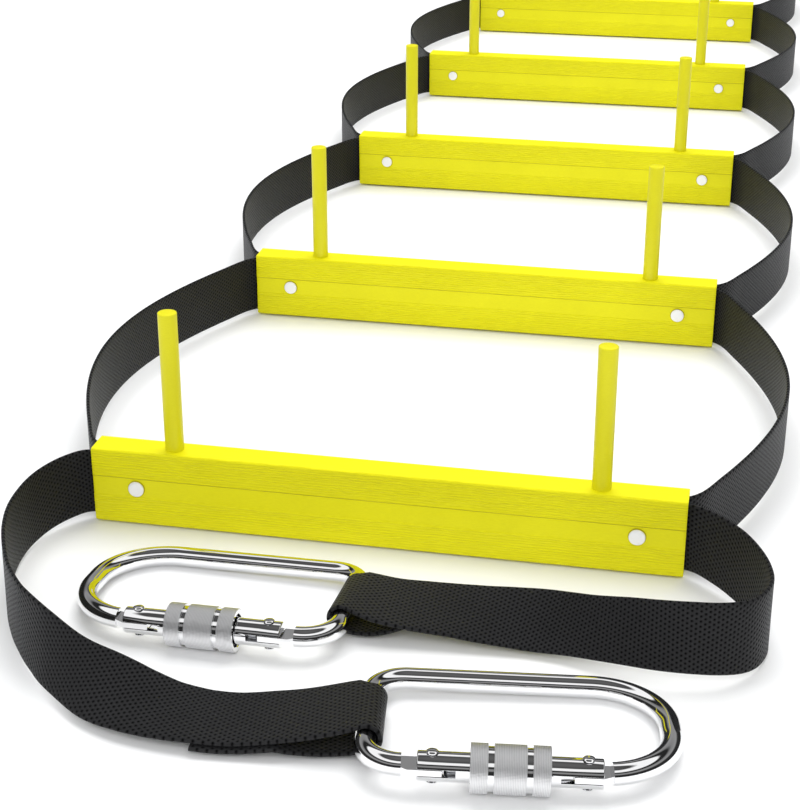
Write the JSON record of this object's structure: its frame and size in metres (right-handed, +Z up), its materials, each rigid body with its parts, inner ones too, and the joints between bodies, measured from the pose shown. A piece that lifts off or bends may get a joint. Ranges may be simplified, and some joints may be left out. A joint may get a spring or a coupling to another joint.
{
  "type": "escape rope ladder",
  "caption": "Roll-up escape ladder: tubular rungs with wall stand-off rods between two webbing side straps, hung from two screw-gate carabiners on lead straps.",
  "frame": {"origin": "on the floor, under the middle of the six rungs", "axes": "+Y along the ladder, away from the carabiners; +Z up from the floor, along the stand-off rods; +X to the right, seen from the carabiner end"},
  "size_m": [0.3272, 1.4383, 0.0965],
  "materials": {
    "rung_yellow": "satin fluorescent yellow coating on a ribbed tube",
    "rod_yellow": "satin fluorescent yellow coating",
    "rivet_metal": "bright blind rivet",
    "webbing": "black woven webbing",
    "chrome": "polished",
    "brushed_steel": "satin with knurled bands",
    "spring_steel": "plain wire"
  },
  "bodies": {
    "rung_1": {"rung_1": "rung_yellow", "rung_1_left_standoff_rod": "rod_yellow", "rung_1_left_rivet": "rivet_metal", "rung_1_right_standoff_rod": "rod_yellow", "rung_1_right_rivet": "rivet_metal", "left_side_strap_1": "webbing", "right_side_strap_1": "webbing", "left_lead_strap": "webbing", "right_lead_strap": "webbing"},
    "rung_2": {"rung_2": "rung_yellow", "rung_2_left_standoff_rod": "rod_yellow", "rung_2_left_rivet": "rivet_metal", "rung_2_right_standoff_rod": "rod_yellow", "rung_2_right_rivet": "rivet_metal", "left_side_strap_2": "webbing", "right_side_strap_2": "webbing"},
    "rung_3": {"rung_3": "rung_yellow", "rung_3_left_standoff_rod": "rod_yellow", "rung_3_left_rivet": "rivet_metal", "rung_3_right_standoff_rod": "rod_yellow", "rung_3_right_rivet": "rivet_metal", "left_side_strap_3": "webbing", "right_side_strap_3": "webbing"},
    "rung_4": {"rung_4": "rung_yellow", "rung_4_left_standoff_rod": "rod_yellow", "rung_4_left_rivet": "rivet_metal", "rung_4_right_standoff_rod": "rod_yellow", "rung_4_right_rivet": "rivet_metal", "left_side_strap_4": "webbing", "right_side_strap_4": "webbing"},
    "rung_5": {"rung_5": "rung_yellow", "rung_5_left_standoff_rod": "rod_yellow", "rung_5_left_rivet": "rivet_metal", "rung_5_right_standoff_rod": "rod_yellow", "rung_5_right_rivet": "rivet_metal", "left_side_strap_5": "webbing", "right_side_strap_5": "webbing"},
    "rung_6": {"rung_6": "rung_yellow", "rung_6_left_standoff_rod": "rod_yellow", "rung_6_left_rivet": "rivet_metal", "rung_6_right_standoff_rod": "rod_yellow", "rung_6_right_rivet": "rivet_metal"},
    "left_carabiner": {"left_carabiner_body": "chrome"},
    "left_gate": {"left_carabiner_gate": "chrome", "left_gate_hinge_rivet": "chrome", "left_gate_latch_rivet": "chrome", "left_gate_spring": "spring_steel", "left_gate_plunger": "spring_steel"},
    "left_sleeve": {"left_screw_sleeve": "brushed_steel"},
    "right_carabiner": {"right_carabiner_body": "chrome"},
    "right_gate": {"right_carabiner_gate": "chrome", "right_gate_hinge_rivet": "chrome", "right_gate_latch_rivet": "chrome", "right_gate_spring": "spring_steel", "right_gate_plunger": "spring_steel"},
    "right_sleeve": {"right_screw_sleeve": "brushed_steel"}
  },
  "joints": [
    {"name": "rung_2_fold", "type": "slide", "parent": "rung_1", "child": "rung_2", "axis": [0, 1, 0], "range_m": [-0.2, 0.014], "deforming": ["left_side_strap_1", "right_side_strap_1"]},
    {"name": "rung_3_fold", "type": "slide", "parent": "rung_2", "child": "rung_3", "axis": [0, 1, 0], "range_m": [-0.2, 0.014], "deforming": ["left_side_strap_2", "right_side_strap_2"]},
    {"name": "rung_4_fold", "type": "slide", "parent": "rung_3", "child": "rung_4", "axis": [0, 1, 0], "range_m": [-0.2, 0.014], "deforming": ["left_side_strap_3", "right_side_strap_3"]},
    {"name": "rung_5_fold", "type": "slide", "parent": "rung_4", "child": "rung_5", "axis": [0, 1, 0], "range_m": [-0.2, 0.014], "deforming": ["left_side_strap_4", "right_side_strap_4"]},
    {"name": "rung_6_fold", "type": "slide", "parent": "rung_5", "child": "rung_6", "axis": [0, 1, 0], "range_m": [-0.2, 0.014], "deforming": ["left_side_strap_5", "right_side_strap_5"]},
    {"name": "left_carabiner_lift", "type": "hinge", "parent": "rung_1", "child": "left_carabiner", "pos_m": [0.02461, -0.76879, 0.00764], "axis": [0.1523, -0.986, 0.0674], "range_deg": [0, 100]},
    {"name": "left_gate_hinge", "type": "hinge", "parent": "left_carabiner", "child": "left_gate", "pos_m": [0.05196, -0.79388, 0.00912], "axis": [0.0101, 0.0698, 0.9975], "range_deg": [0, 25], "stiffness_Nm_per_rad": 0.1, "springref_deg": -17.19},
    {"name": "left_sleeve_screw", "type": "slide", "parent": "left_gate", "child": "left_sleeve", "axis": [0.9883, 0.1512, -0.0206], "range_m": [-0.008, 0.018]},
    {"name": "right_carabiner_lift", "type": "hinge", "parent": "rung_1", "child": "right_carabiner", "pos_m": [0.00098, -0.69639, 0.00764], "axis": [0.0223, 0.9975, -0.0674], "range_deg": [0, 100]},
    {"name": "right_gate_hinge", "type": "hinge", "parent": "right_carabiner", "child": "right_gate", "pos_m": [-0.02286, -0.72483, 0.00912], "axis": [0.0191, -0.0678, -0.9975], "range_deg": [0, 25], "stiffness_Nm_per_rad": 0.1, "springref_deg": -17.19},
    {"name": "right_sleeve_screw", "type": "slide", "parent": "right_gate", "child": "right_sleeve", "axis": [-0.9996, 0.0209, -0.0206], "range_m": [-0.008, 0.018]}
  ]
}
